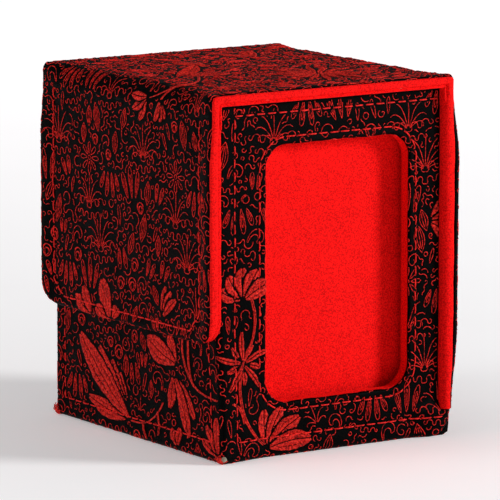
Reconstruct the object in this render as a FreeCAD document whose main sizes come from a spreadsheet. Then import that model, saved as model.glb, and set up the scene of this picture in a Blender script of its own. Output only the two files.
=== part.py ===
import FreeCAD, Part
import Sketcher
import math
import os

# Card deck box with a display window.
#
# One long cover strip makes the hinge wall on the right, the lid and the flap that closes over
# the left wall. The strip is wider than the box, so it stands proud of the front and back walls.
# Every panel is a greyboard with brocade glued outside and microfibre lining glued inside.
# The strip has no board where it folds: only cloth and lining bend there.
#
# Frame: millimetres, origin at the middle of the resting face, +Z up. The window looks along -Y,
# the hinge wall is on +X and the flap on -X.

DIMENSIONS = {
    "overall_width": 83.0,      # X, outside of the flap to outside of the hinge wall
    "overall_depth": 91.0,      # Y, width of the cover strip
    "overall_height": 105.0,    # Z, resting face to the top of the lid
    "cloth": 0.9,               # brocade with its thin backing
    "lining": 0.6,              # microfibre
    "board": 2.0,               # greyboard in every panel but the front and the display panel
    "front_board": 2.5,         # greyboard in the front wall
    "strip_proud": 2.5,         # how far the strip stands out past the front and back walls
    "flap_gap": 0.5,            # between the left wall and the closed flap
    "lid_gap": 0.5,             # between the tops of the walls and the lid's lining
    "foot_fold": 7.0,           # outer radius where the hinge wall turns under the box
    "foot_rise": 1.0,           # from the top of that fold to where the strip stands proud
    "lid_fold": 4.0,            # outer radius of the fold between hinge wall and lid
    "flap_fold": 6.5,           # outer radius of the fold between lid and flap
    "flap_hem": 34.0,           # height of the flap's lower edge
    "flap_corner": 8.0,         # radius of the flap's lower corners
    "window_corner": 7.0,
    "window_sill": 15.5,        # height of the window's lower edge
    "window_head": 12.0,        # from the window to the tops of the walls
    "window_margin": 10.5,      # from the hinge wall to the window
    "window_free_margin": 16.0,  # from the window to the outside of the left wall
    "display_gap": 2.2,         # slot for the displayed card behind the front wall
    "display_board": 1.0,       # greyboard in the display panel
    "display_drop": 1.5,        # display panel's top below the tops of the walls
    "magnet_diameter": 10.0,
    "magnet_thickness": 1.5,
    "magnet_clearance": 0.1,    # radial, in the boards
    "magnet_spacing": 44.0,
    "magnet_above_hem": 12.0,
    "thread": 0.4,              # width of a line of stitching
    "thread_depth": 0.3,        # how deep the stitching sinks into the cloth
    "wall_seam": 5.4,           # stitching in from a wall's upright edges
    "wall_seam_low": 5.8,       # height of the stitching along the foot of the walls
    "wall_seam_high": 2.8,      # stitching below the tops of the walls
    "window_seam": 2.3,         # stitching outside the window's edge
    "flap_seam": 6.4,           # stitching in from the flap's upright edges
    "flap_seam_low": 3.2,       # stitching above the flap's lower edge
    "flap_seam_chamfer": 5.0,   # cut corner of the flap's stitching
}

doc = FreeCAD.newDocument("deck_box")
sheet = doc.addObject("Spreadsheet::Sheet", "dims")
for row, (alias, number) in enumerate(DIMENSIONS.items(), start=1):
    sheet.set(f"A{row}", alias)
    sheet.set(f"B{row}", str(number))
    sheet.setAlias(f"B{row}", alias)
doc.recompute()


class Size:
    """A length held both as a number and as the expression that ties it to the sheet."""

    def __init__(self, number, text):
        self.number = number
        self.text = text

    def __add__(self, other):
        other = as_size(other)
        return Size(self.number + other.number, f"({self.text} + {other.text})")

    def __sub__(self, other):
        other = as_size(other)
        return Size(self.number - other.number, f"({self.text} - {other.text})")

    def __mul__(self, factor):
        return Size(self.number * factor, f"({self.text} * {factor})")

    def __truediv__(self, divisor):
        return Size(self.number / divisor, f"({self.text} / {divisor})")

    def __neg__(self):
        return Size(-self.number, f"(-{self.text})")


def as_size(value):
    if isinstance(value, Size):
        return value
    return Size(float(value), f"{float(value)}")


def dim(alias):
    return Size(DIMENSIONS[alias], f"dims.{alias}")


cloth = dim("cloth")
lining = dim("lining")
board = dim("board")
strip = cloth + board + lining                  # thickness of the cover strip
zero = as_size(0)

# X, from left to right
flap_out = -dim("overall_width") / 2
flap_in = flap_out + strip
left_out = flap_in + dim("flap_gap")            # outside of the left wall
left_board_out = left_out + cloth
left_board_in = left_board_out + board
left_in = left_board_in + lining                # inside of the left wall
hinge_out = dim("overall_width") / 2
hinge_board_out = hinge_out - cloth
hinge_board_in = hinge_board_out - board
hinge_in = hinge_board_in - lining

# Y, from front to back
strip_front = -dim("overall_depth") / 2
strip_back = dim("overall_depth") / 2
front_out = strip_front + dim("strip_proud")    # outside of the front wall
front_board_out = front_out + cloth
front_board_in = front_board_out + dim("front_board")
front_in = front_board_in + lining
display_front = front_in + dim("display_gap")
display_board_front = display_front + lining
display_board_back = display_board_front + dim("display_board")
display_back = display_board_back + lining
back_out = strip_back - dim("strip_proud")
back_board_out = back_out - cloth
back_board_in = back_board_out - board
back_in = back_board_in - lining

# Z, from the resting face up
floor_board_low = cloth
floor_board_high = floor_board_low + board
floor_in = floor_board_high + lining
lid_out = dim("overall_height")
lid_board_high = lid_out - cloth
lid_board_low = lid_board_high - board
lid_in = lid_board_low - lining
wall_top = lid_in - dim("lid_gap")
wall_board_top = wall_top - lining

# Where the folds start on the flat panels
foot_x = hinge_out - dim("foot_fold")
foot_z = dim("foot_fold")
foot_top = foot_z + dim("foot_rise")
lid_fold_x = hinge_out - dim("lid_fold")
lid_fold_z = lid_out - dim("lid_fold")
flap_fold_x = flap_out + dim("flap_fold")
flap_fold_z = lid_out - dim("flap_fold")

subparts = []


def finished(feature, label):
    """Marks a feature as a finished sub-part of the box."""
    feature.Label = label
    subparts.append(feature)
    return feature


def slab(name, x, y, z):
    """A flat block between two places along each axis."""
    block = doc.addObject("Part::Box", name)
    for side, (low, high) in {"Length": x, "Width": y, "Height": z}.items():
        block.setExpression(side, (high - low).text)
    for axis, (low, high) in {"x": x, "y": y, "z": z}.items():
        block.setExpression(f"Placement.Base.{axis}", low.text)
    return block


def cut(name, base, tool):
    feature = doc.addObject("Part::Cut", name)
    feature.Base = base
    feature.Tool = tool
    return feature


def joined(name, shapes):
    feature = doc.addObject("Part::MultiFuse", name)
    feature.Shapes = shapes
    feature.Refine = True
    return feature


def group(name, shapes):
    feature = doc.addObject("Part::Compound", name)
    feature.Links = shapes
    return feature


# Turns a cylinder onto the Y axis, with its quarter sector opening towards the named corner
QUARTERS = {
    "right_top": (FreeCAD.Vector(1, 0, 0), FreeCAD.Vector(0, 0, 1)),
    "left_top": (FreeCAD.Vector(0, 0, 1), FreeCAD.Vector(-1, 0, 0)),
    "right_foot": (FreeCAD.Vector(0, 0, -1), FreeCAD.Vector(1, 0, 0)),
}


def sector(name, centre_x, centre_z, radius, y, quarter):
    """A quarter cylinder along Y."""
    first, second = QUARTERS[quarter]
    solid = doc.addObject("Part::Cylinder", name)
    turn = FreeCAD.Rotation(first, second, FreeCAD.Vector(0, -1, 0), "XYZ")
    solid.Placement = FreeCAD.Placement(FreeCAD.Vector(0, 0, 0), turn)
    solid.Angle = 90
    solid.setExpression("Radius", radius.text)
    solid.setExpression("Height", (y[1] - y[0]).text)
    solid.setExpression("Placement.Base.x", centre_x.text)
    solid.setExpression("Placement.Base.y", y[1].text)
    solid.setExpression("Placement.Base.z", centre_z.text)
    return solid


def origin_plane(body, role):
    for feature in body.Origin.OriginFeatures:
        if feature.Role == role:
            return feature
    raise RuntimeError(f"no {role} in {body.Name}")


def place_edge(sketch, edge, along_axis, place):
    """Holds a horizontal or vertical edge at its distance from the sketch's axis."""
    axis = -1 if along_axis == "Horizontal" else -2
    if abs(place.number) < 1e-9:
        sketch.addConstraint(Sketcher.Constraint("PointOnObject", edge, 1, axis))
        return
    kind = "DistanceY" if along_axis == "Horizontal" else "DistanceX"
    index = sketch.addConstraint(Sketcher.Constraint(kind, -1, 1, edge, 1, place.number))
    sketch.setExpression(f"Constraints[{index}]", place.text)


def draw_outline(sketch, corners):
    """A closed outline of level and upright edges, counter-clockwise from a level first edge.

    corners: (x, y, radius or None), where the radius rounds an outward corner.
    """
    count = len(corners)
    points = [FreeCAD.Vector(x.number, y.number, 0) for x, y, radius in corners]
    radii = [radius.number if radius else 0.0 for x, y, radius in corners]
    edges = []
    for n in range(count):
        start, end = points[n], points[(n + 1) % count]
        along = (end - start).normalize()
        first = start + along * radii[n]
        last = end - along * radii[(n + 1) % count]
        edges.append(sketch.addGeometry(Part.LineSegment(first, last)))
        direction = "Horizontal" if n % 2 == 0 else "Vertical"
        sketch.addConstraint(Sketcher.Constraint(direction, edges[n]))
        place_edge(sketch, edges[n], direction, corners[n][1] if n % 2 == 0 else corners[n][0])
    for n in range(count):
        before, after = edges[n - 1], edges[n]
        if not corners[n][2]:
            sketch.addConstraint(Sketcher.Constraint("Coincident", before, 2, after, 1))
            continue
        inward = (points[n - 1] - points[n]).normalize()
        onward = (points[(n + 1) % count] - points[n]).normalize()
        centre = points[n] + (inward + onward) * radii[n]
        circle = Part.Circle(centre, FreeCAD.Vector(0, 0, 1), radii[n])
        start_angle = math.atan2(-onward.y, -onward.x)
        arc = sketch.addGeometry(
            Part.ArcOfCircle(circle, start_angle, start_angle + math.pi / 2)
        )
        sketch.addConstraint(Sketcher.Constraint("Tangent", before, 2, arc, 1))
        sketch.addConstraint(Sketcher.Constraint("Tangent", arc, 2, after, 1))
        index = sketch.addConstraint(Sketcher.Constraint("Radius", arc, radii[n]))
        sketch.setExpression(f"Constraints[{index}]", corners[n][2].text)


def plate(name, plane, place, thickness, outlines):
    """A padded sketch, drawn from the corner of the panel that place puts in the box.

    plane: "XZ_Plane" grows towards -Y and "YZ_Plane" towards +X.
    """
    body = doc.addObject("PartDesign::Body", name)
    for axis, value in zip("xyz", place):
        body.setExpression(f"Placement.Base.{axis}", value.text)
    sketch = body.newObject("Sketcher::SketchObject", f"{name}_outline")
    sketch.AttachmentSupport = [(origin_plane(body, plane), "")]
    sketch.MapMode = "FlatFace"
    for corners in outlines:
        draw_outline(sketch, corners)
    pad = body.newObject("PartDesign::Pad", f"{name}_pad")
    pad.Profile = sketch
    pad.setExpression("Length", thickness.text)
    sketch.Visibility = False
    return body


def window_outline(left, low, grow):
    """The window, drawn from the panel's corner at left and low, grown on every side."""
    x0 = left_out + dim("window_free_margin") - left - grow
    x1 = hinge_in - dim("window_margin") - left + grow
    z0 = dim("window_sill") - low - grow
    z1 = wall_top - dim("window_head") - low + grow
    radius = dim("window_corner") + grow
    return [(x0, z0, radius), (x1, z0, radius), (x1, z1, radius), (x0, z1, radius)]


def wall_outline(left, low, top, fold):
    """A front or back panel: it reaches under the hinge wall with a round foot."""
    foot_right = foot_x + fold - left
    right = hinge_in - left
    foot_high = foot_top - low
    return [
        (zero, zero, None),
        (foot_right, zero, fold),
        (foot_right, foot_high, None),
        (right, foot_high, None),
        (right, top - low, None),
        (zero, top - low, None),
    ]


# ---------------------------------------------------------------- stitching, sunk into the cloth

def upright_stitches(name, at, z, y):
    """A vertical line of stitching on a wall that faces along Y."""
    return slab(name, (at - dim("thread") / 2, at + dim("thread") / 2), y, z)


def level_stitches(name, x, at, y):
    """A level line of stitching on a wall that faces along Y."""
    return slab(name, x, y, (at - dim("thread") / 2, at + dim("thread") / 2))


def wall_stitches(label, y):
    """Stitching up the free side of the front or back wall, and along its top and foot."""
    seam_x = left_out + dim("wall_seam")
    seam_low = dim("wall_seam_low")
    seam_high = wall_top - dim("wall_seam_high")
    runs = [
        upright_stitches(f"{label}_side", seam_x, (seam_low, seam_high), y),
        level_stitches(f"{label}_low", (seam_x, hinge_in), seam_low, y),
        level_stitches(f"{label}_high", (seam_x, hinge_in), seam_high, y),
    ]
    return finished(joined(f"{label}_runs", runs), label)


front_stitches = wall_stitches("front_edge_stitches", (front_out, front_out + dim("thread_depth")))
back_stitches = wall_stitches("back_edge_stitches", (back_out - dim("thread_depth"), back_out))

window_stitches = finished(
    plate(
        "window_seam",
        "XZ_Plane",
        (left_out, front_out + dim("thread_depth"), zero),
        dim("thread_depth"),
        [
            window_outline(left_out, zero, dim("window_seam") + dim("thread") / 2),
            window_outline(left_out, zero, dim("window_seam") - dim("thread") / 2),
        ],
    ),
    "window_stitches",
)


def side_run(name, y, z, x):
    return slab(name, x, y, z)


def left_wall_stitching():
    x = (left_out, left_out + dim("thread_depth"))
    half = dim("thread") / 2
    near = front_out + dim("wall_seam")
    far = back_out - dim("wall_seam")
    low = dim("wall_seam_low")
    runs = [
        side_run("left_seam_near", (near - half, near + half), (low, wall_top), x),
        side_run("left_seam_far", (far - half, far + half), (low, wall_top), x),
        side_run("left_seam_low", (near - half, far + half), (low - half, low + half), x),
    ]
    return finished(joined("left_wall_runs", runs), "left_wall_stitches")


def flap_stitching():
    x = (flap_out, flap_out + dim("thread_depth"))
    half = dim("thread") / 2
    near = strip_front + dim("flap_seam")
    far = strip_back - dim("flap_seam")
    low = dim("flap_hem") + dim("flap_seam_low")
    chamfer = dim("flap_seam_chamfer")
    runs = [
        side_run("flap_seam_near", (near - half, near + half), (low + chamfer, flap_fold_z), x),
        side_run("flap_seam_far", (far - half, far + half), (low + chamfer, flap_fold_z), x),
        side_run("flap_seam_low", (near + chamfer, far - chamfer), (low - half, low + half), x),
    ]
    # the cut corners: one short run at 45 degrees between each pair of straight runs
    slope = half * 0.5 ** 0.5
    for name, y, z, degrees in (
        ("flap_seam_corner_near", near - slope, low + chamfer - slope, -45),
        ("flap_seam_corner_far", far - chamfer + slope, low - slope, 45),
    ):
        run = doc.addObject("Part::Box", name)
        turn = FreeCAD.Rotation(FreeCAD.Vector(1, 0, 0), degrees)
        run.Placement = FreeCAD.Placement(FreeCAD.Vector(0, 0, 0), turn)
        run.setExpression("Length", dim("thread_depth").text)
        run.setExpression("Width", (chamfer * 2 ** 0.5).text)
        run.setExpression("Height", dim("thread").text)
        run.setExpression("Placement.Base.x", flap_out.text)
        run.setExpression("Placement.Base.y", y.text)
        run.setExpression("Placement.Base.z", z.text)
        runs.append(run)
    return finished(joined("flap_runs", runs), "flap_stitches")


left_stitches = left_wall_stitching()
flap_stitches = flap_stitching()

# ---------------------------------------------------------------- front and back walls

front_cloth_blank = plate(
    "front_wall_cloth_blank",
    "XZ_Plane",
    (left_out, front_board_out, zero),
    cloth,
    [wall_outline(left_out, zero, wall_top, dim("foot_fold")), window_outline(left_out, zero, zero)],
)
front_seams = group("front_seams", [front_stitches, window_stitches])
finished(cut("front_wall_cloth_cut", front_cloth_blank, front_seams), "front_wall_cloth")

finished(
    plate(
        "front_wall_board_body",
        "XZ_Plane",
        (left_board_out, front_board_in, floor_board_low),
        dim("front_board"),
        [
            wall_outline(left_board_out, floor_board_low, wall_board_top, dim("foot_fold") - cloth),
            window_outline(left_board_out, floor_board_low, lining),
        ],
    ),
    "front_wall_board",
)

# The lining of the front and back walls, drawn from the lower left corner of the compartment
lining_outline = [
    (zero, zero, None),
    (hinge_in - left_in, zero, dim("foot_fold") - strip),
    (hinge_in - left_in, wall_top - floor_in, None),
    (zero, wall_top - floor_in, None),
]

# The front lining also turns over the top edge and lines the edges of the window
front_lining_face = plate(
    "front_lining_face",
    "XZ_Plane",
    (left_in, front_in, floor_in),
    lining,
    [lining_outline, window_outline(left_in, floor_in, zero)],
)
front_lining_edge = plate(
    "front_lining_edge",
    "XZ_Plane",
    (left_board_out, front_board_in, zero),
    dim("front_board"),
    [window_outline(left_board_out, zero, lining), window_outline(left_board_out, zero, zero)],
)
front_lining_top = slab(
    "front_lining_top",
    (left_board_out, hinge_in),
    (front_board_out, front_in),
    (wall_board_top, wall_top),
)
front_lining = joined(
    "front_lining_parts", [front_lining_face, front_lining_edge, front_lining_top]
)
finished(front_lining, "front_wall_lining")

back_cloth_blank = plate(
    "back_wall_cloth_blank",
    "XZ_Plane",
    (left_out, back_out, zero),
    cloth,
    [wall_outline(left_out, zero, wall_top, dim("foot_fold"))],
)
finished(cut("back_wall_cloth_cut", back_cloth_blank, back_stitches), "back_wall_cloth")

finished(
    plate(
        "back_wall_board_body",
        "XZ_Plane",
        (left_board_out, back_board_out, floor_board_low),
        board,
        [wall_outline(left_board_out, floor_board_low, wall_board_top, dim("foot_fold") - cloth)],
    ),
    "back_wall_board",
)

back_lining_face = plate(
    "back_lining_face", "XZ_Plane", (left_in, back_board_in, floor_in), lining, [lining_outline]
)
back_lining_top = slab(
    "back_lining_top",
    (left_board_out, hinge_in),
    (back_in, back_board_out),
    (wall_board_top, wall_top),
)
finished(joined("back_lining_parts", [back_lining_face, back_lining_top]), "back_wall_lining")

# ---------------------------------------------------------------- left wall, with its magnets


def magnet_pair(name, x, direction, radius, depth):
    """Two discs along X, in the boards of the flap and of the left wall."""
    discs = []
    for side, sign in (("near", -0.5), ("far", 0.5)):
        disc = doc.addObject("Part::Cylinder", f"{name}_{side}")
        turn = FreeCAD.Rotation(FreeCAD.Vector(0, 1, 0), 90 * direction)
        disc.Placement = FreeCAD.Placement(FreeCAD.Vector(0, 0, 0), turn)
        disc.setExpression("Radius", radius.text)
        disc.setExpression("Height", depth.text)
        disc.setExpression("Placement.Base.x", x.text)
        disc.setExpression("Placement.Base.y", (dim("magnet_spacing") * sign).text)
        height = dim("flap_hem") + dim("magnet_above_hem")
        disc.setExpression("Placement.Base.z", height.text)
        discs.append(disc)
    return group(f"{name}_pair", discs)


magnet_radius = dim("magnet_diameter") / 2
pocket_radius = magnet_radius + dim("magnet_clearance")

left_board_blank = slab(
    "left_board_blank",
    (left_board_out, left_board_in),
    (front_board_in, back_board_in),
    (floor_board_high, wall_board_top),
)
wall_pockets = magnet_pair(
    "wall_pocket", left_board_out, 1, pocket_radius, dim("magnet_thickness")
)
finished(cut("left_board_cut", left_board_blank, wall_pockets), "left_wall_board")
finished(
    magnet_pair("wall_magnet", left_board_out, 1, magnet_radius, dim("magnet_thickness")),
    "wall_magnets",
)

left_cloth_blank = slab(
    "left_cloth_blank",
    (left_out, left_board_out),
    (front_board_out, back_board_out),
    (zero, wall_top),
)
finished(cut("left_cloth_cut", left_cloth_blank, left_stitches), "left_wall_cloth")

left_lining_face = slab(
    "left_lining_face",
    (left_board_in, left_in),
    (front_board_in, back_board_in),
    (floor_board_high, wall_top),
)
left_lining_top = slab(
    "left_lining_top",
    (left_board_out, left_board_in),
    (front_in, back_in),
    (wall_board_top, wall_top),
)
left_lining_corners = [
    slab("left_lining_front", (left_board_in, left_in), (front_board_in, front_in),
         (wall_board_top, wall_top)),
    slab("left_lining_back", (left_board_in, left_in), (back_in, back_board_in),
         (wall_board_top, wall_top)),
]
left_lining = joined("left_lining_parts", [left_lining_face, left_lining_top])
finished(
    cut("left_lining_cut", left_lining, group("left_lining_corners", left_lining_corners)),
    "left_wall_lining",
)

# ---------------------------------------------------------------- bottom

finished(
    slab("bottom_cloth_body", (left_board_out, foot_x), (front_board_out, back_board_out),
         (zero, floor_board_low)),
    "bottom_cloth",
)
finished(
    slab("bottom_board_body", (left_board_out, foot_x), (front_board_in, back_board_in),
         (floor_board_low, floor_board_high)),
    "bottom_board",
)
finished(
    slab("bottom_lining_body", (left_in, foot_x), (front_in, back_in),
         (floor_board_high, floor_in)),
    "bottom_lining",
)

# ---------------------------------------------------------------- display panel

display_board = slab(
    "display_board_body",
    (left_in + lining, hinge_in - lining),
    (display_board_front, display_board_back),
    (foot_z, wall_top - dim("display_drop") - lining),
)
finished(display_board, "display_board")
display_lining_blank = slab(
    "display_lining_blank",
    (left_in, hinge_in),
    (display_front, display_back),
    (foot_z, wall_top - dim("display_drop")),
)
finished(cut("display_lining_cut", display_lining_blank, display_board), "display_lining")

# ---------------------------------------------------------------- hinge wall

hinge_cloth_face = slab(
    "hinge_cloth_face",
    (hinge_board_out, hinge_out),
    (strip_front, strip_back),
    (foot_top, lid_fold_z),
)
between_walls = (front_board_out, back_board_out)
foot_outer = sector(
    "foot_outer", foot_x, foot_z, dim("foot_fold"), between_walls, "right_foot"
)
foot_inner = sector(
    "foot_inner", foot_x, foot_z, dim("foot_fold") - cloth, between_walls, "right_foot"
)
foot_ring = cut("foot_ring", foot_outer, foot_inner)
foot_rise = slab("foot_rise", (hinge_board_out, hinge_out), between_walls, (foot_z, foot_top))
finished(
    joined("hinge_cloth_parts", [hinge_cloth_face, foot_ring, foot_rise]), "hinge_wall_cloth"
)

finished(
    slab(
        "hinge_board_body",
        (hinge_board_in, hinge_board_out),
        (strip_front + lining, strip_back - lining),
        (foot_top, lid_fold_z),
    ),
    "hinge_wall_board",
)

hinge_lining_face = slab(
    "hinge_lining_face",
    (hinge_in, hinge_board_in),
    (strip_front, strip_back),
    (foot_top, lid_fold_z),
)
hinge_lining_near = slab(
    "hinge_lining_near",
    (hinge_in, hinge_board_out),
    (strip_front, strip_front + lining),
    (foot_top, lid_fold_z),
)
hinge_lining_far = slab(
    "hinge_lining_far",
    (hinge_in, hinge_board_out),
    (strip_back - lining, strip_back),
    (foot_top, lid_fold_z),
)
inside_walls = (front_board_in, back_board_in)
foot_lining_outer = sector(
    "foot_lining_outer", foot_x, foot_z, dim("foot_fold") - cloth - board, inside_walls,
    "right_foot",
)
foot_lining_inner = sector(
    "foot_lining_inner", foot_x, foot_z, dim("foot_fold") - strip, inside_walls, "right_foot"
)
foot_lining = cut("foot_lining_ring", foot_lining_outer, foot_lining_inner)
foot_lining_rise = slab(
    "foot_lining_rise", (hinge_in, hinge_board_in), inside_walls, (foot_z, foot_top)
)
hinge_lining_parts = [
    hinge_lining_face, hinge_lining_near, hinge_lining_far, foot_lining, foot_lining_rise
]
finished(joined("hinge_lining_joined", hinge_lining_parts), "hinge_wall_lining")

# ---------------------------------------------------------------- lid

lid_x = (flap_fold_x, lid_fold_x)
finished(
    slab("lid_cloth_body", lid_x, (strip_front, strip_back), (lid_board_high, lid_out)),
    "lid_cloth",
)
lid_board = slab(
    "lid_board_body", lid_x, (strip_front + lining, strip_back - lining),
    (lid_board_low, lid_board_high),
)
finished(lid_board, "lid_board")
lid_lining_blank = slab(
    "lid_lining_blank", lid_x, (strip_front, strip_back), (lid_in, lid_board_high)
)
finished(cut("lid_lining_cut", lid_lining_blank, lid_board), "lid_lining")


def fold(label, centre_x, centre_z, radius, quarter, core_x, core_z):
    """The bending stretch of the strip: a quarter round of cloth with gathered lining inside."""
    y = (strip_front, strip_back)
    outer = sector(f"{label}_outer", centre_x, centre_z, radius, y, quarter)
    middle = sector(f"{label}_middle", centre_x, centre_z, radius - cloth, y, quarter)
    finished(cut(f"{label}_cloth_cut", outer, middle), f"{label}_cloth")
    core = slab(f"{label}_core", core_x, y, core_z)
    finished(cut(f"{label}_lining_cut", middle, core), f"{label}_lining")


fold(
    "lid_fold", lid_fold_x, lid_fold_z, dim("lid_fold"), "right_top",
    (lid_fold_x, hinge_in), (lid_fold_z, lid_in),
)
fold(
    "flap_fold", flap_fold_x, flap_fold_z, dim("flap_fold"), "left_top",
    (flap_in, flap_fold_x), (flap_fold_z, lid_in),
)

# ---------------------------------------------------------------- flap


def flap_outline(inset):
    """The flap, drawn from its lower front corner, set in from its free edges."""
    depth = dim("overall_depth") - inset * 2
    height = flap_fold_z - dim("flap_hem") - inset
    radius = dim("flap_corner") - inset
    return [
        (zero, zero, radius),
        (depth, zero, radius),
        (depth, height, None),
        (zero, height, None),
    ]


def flap_layer(name, x, thickness, inset):
    place = (x, strip_front + inset, dim("flap_hem") + inset)
    return plate(name, "YZ_Plane", place, thickness, [flap_outline(inset)])


flap_cloth_blank = flap_layer("flap_cloth_blank", flap_out, cloth, zero)
finished(cut("flap_cloth_cut", flap_cloth_blank, flap_stitches), "flap_cloth")

flap_board_blank = flap_layer("flap_board_blank", flap_out + cloth, board, lining)
flap_pockets = magnet_pair(
    "flap_pocket", flap_out + cloth + board, -1, pocket_radius, dim("magnet_thickness")
)
finished(cut("flap_board_cut", flap_board_blank, flap_pockets), "flap_board")
finished(
    magnet_pair(
        "flap_magnet", flap_out + cloth + board, -1, magnet_radius, dim("magnet_thickness")
    ),
    "flap_magnets",
)
flap_lining_blank = flap_layer("flap_lining_blank", flap_out + cloth, board + lining, zero)
finished(cut("flap_lining_cut", flap_lining_blank, flap_board_blank), "flap_lining")

# ---------------------------------------------------------------- check and export

doc.recompute()
for feature in doc.Objects:
    faults = [word for word in feature.State if word in ("Invalid", "Error")]
    if faults:
        raise RuntimeError(f"{feature.Label} is {faults}")
os.makedirs("parts", exist_ok=True)
for feature in subparts:
    shape = feature.Shape
    if shape.isNull() or not shape.isValid() or not shape.Solids:
        raise RuntimeError(f"{feature.Label} has no valid solid")
    shape.exportStep(os.path.join("parts", f"{feature.Label}.step"))
    print(f"{feature.Label}: {len(shape.Solids)} solid(s), {shape.Volume:.1f} mm3")
print(f"{len(subparts)} sub-parts")
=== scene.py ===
import math

import bmesh
import bpy
import numpy as np
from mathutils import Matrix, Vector


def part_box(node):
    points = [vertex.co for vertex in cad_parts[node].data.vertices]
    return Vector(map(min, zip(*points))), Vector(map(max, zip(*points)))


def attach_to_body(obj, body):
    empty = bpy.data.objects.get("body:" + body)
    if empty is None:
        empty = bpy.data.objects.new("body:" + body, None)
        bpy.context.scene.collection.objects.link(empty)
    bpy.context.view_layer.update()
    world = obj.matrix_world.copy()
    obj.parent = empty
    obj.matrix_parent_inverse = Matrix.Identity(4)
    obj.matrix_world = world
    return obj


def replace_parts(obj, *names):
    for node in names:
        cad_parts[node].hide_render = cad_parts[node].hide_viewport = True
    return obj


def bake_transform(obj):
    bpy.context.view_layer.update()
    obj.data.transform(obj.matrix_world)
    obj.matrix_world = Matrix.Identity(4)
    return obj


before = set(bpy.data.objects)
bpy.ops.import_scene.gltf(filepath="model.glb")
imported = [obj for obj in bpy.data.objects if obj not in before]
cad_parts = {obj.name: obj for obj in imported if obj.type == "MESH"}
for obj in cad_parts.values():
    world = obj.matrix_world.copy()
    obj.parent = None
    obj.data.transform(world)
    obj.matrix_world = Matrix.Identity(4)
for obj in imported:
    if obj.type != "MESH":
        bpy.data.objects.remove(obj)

MM = 0.001
QUARTER = math.pi / 2
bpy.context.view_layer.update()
chance = np.random.default_rng(11)


# ------------------------------------------------------------ places, from the frame, in mm

def extent(node):
    """Lowest and highest corner of a CAD node."""
    low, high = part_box(node)
    return np.array(low) / MM, np.array(high) / MM


flap_low, flap_high = extent("flap_cloth")
lid_low, lid_high = extent("lid_cloth")
hinge_low, hinge_high = extent("hinge_wall_cloth")
front_low, front_high = extent("front_wall_cloth")
back_low, back_high = extent("back_wall_cloth")
left_low, left_high = extent("left_wall_cloth")
floor_high = extent("bottom_cloth")[1]
window_low, window_high = extent("window_stitches")

HALF = lid_high[1]                          # half the width of the cover strip
HEM = flap_low[2]
FLAP_X = flap_low[0]
LID_Z = lid_high[2]
WALL_X = hinge_high[0]
FLAP_FOLD = LID_Z - flap_high[2]            # outer radius of the fold between lid and flap
LID_FOLD = WALL_X - lid_high[0]             # outer radius of the fold between wall and lid
FOOT_FOLD = WALL_X - hinge_low[0]           # outer radius where the hinge wall turns under
STRIP_FOOT = extent("hinge_wall_board")[0][2]
CLOTH = lid_high[2] - lid_low[2]
STRIP = lid_high[2] - extent("lid_lining")[0][2]        # whole thickness of lid and flap
BOARD_FACE = lid_high[2] - extent("lid_board")[0][2]    # depth of the board's inner face
BOARD_EDGE = extent("lid_board")[1][1]

# Run of the cloth from the flap's hem up the flap, over the lid and down the hinge wall
FLAP_END = flap_high[2] - HEM
LID_START = FLAP_END + FLAP_FOLD * QUARTER
LID_END = LID_START + lid_high[0] - lid_low[0]
WALL_START = LID_END + LID_FOLD * QUARTER
FOOT_START = WALL_START + LID_Z - LID_FOLD - FOOT_FOLD
STRIP_END = FOOT_START + FOOT_FOLD * QUARTER
BAND_END = FOOT_START + FOOT_FOLD - STRIP_FOOT

STRIP_RIM = 1.2         # radius of the soft edge of the strip's cloth
WALL_RIM = 1.6          # the same at the corners of the box
WINDOW_RIM = 0.8        # and round the window
SEAM_OFF_WINDOW = 2.3   # from the window's edge to its seam
HALF_THREAD = 0.2       # from the seam's middle to the side of its stitches
FLAP_CORNER = 8.0
WINDOW_CORNER = 7.0
BAND_FACE = 0.45        # from the cloth's face to the red band
BAND_WIDTH = 2.5        # from the cloth's face to the crease where the band turns under
LINE = 0.115            # radius of the brocade's lines
STRAND = 0.2            # radius of a satin-stitch strand
SEWING_THREAD = 0.21    # radius of the seams' thread
LINE_HEIGHT = 0.01      # from the cloth to the middle of a line


# ------------------------------------------------------------ materials

def colour(code):
    """An sRGB hex colour as the linear one that a shader takes."""
    parts = [int(code[i:i + 2], 16) / 255 for i in (1, 3, 5)]
    return [c / 12.92 if c <= 0.04045 else ((c + 0.055) / 1.055) ** 2.4 for c in parts] + [1.0]


def add(material, kind, inputs=None, **settings):
    """Adds a node with its own settings, and gives its inputs a value or a link."""
    made = material.node_tree.nodes.new(kind)
    for name, value in settings.items():
        setattr(made, name, value)
    for name, value in (inputs or {}).items():
        if isinstance(value, bpy.types.NodeSocket):
            material.node_tree.links.new(value, made.inputs[name])
        else:
            made.inputs[name].default_value = value
    return made


def shades(material, factor, stops):
    """A colour ramp between sRGB colours."""
    ramp = add(material, "ShaderNodeValToRGB", {"Fac": factor})
    elements = ramp.color_ramp.elements
    while len(elements) < len(stops):
        elements.new(0.5)
    for element, (place, code) in zip(elements, stops):
        element.position = place
        element.color = colour(code)
    return ramp.outputs["Color"]


def start_material(name):
    """A material with its shader, ready for nodes."""
    material = bpy.data.materials.new(name)
    material.use_nodes = True
    return material, material.node_tree.nodes["Principled BSDF"]


def link(material, value, socket):
    material.node_tree.links.new(value, socket)


def grain(material, coords, size, detail=2.0):
    """Noise whose grains are about size mm across."""
    noise = add(material, "ShaderNodeTexNoise", {"Vector": coords, "Scale": 1 / size, "Detail": detail})
    return noise.outputs["Fac"]


def millimetres(material):
    """The piece's own place in mm, from its object coordinates."""
    place = add(material, "ShaderNodeTexCoord")
    scaled = add(material, "ShaderNodeVectorMath", {0: place.outputs["Object"], 1: (1 / MM,) * 3},
                 operation="MULTIPLY")
    return scaled.outputs["Vector"]


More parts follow.
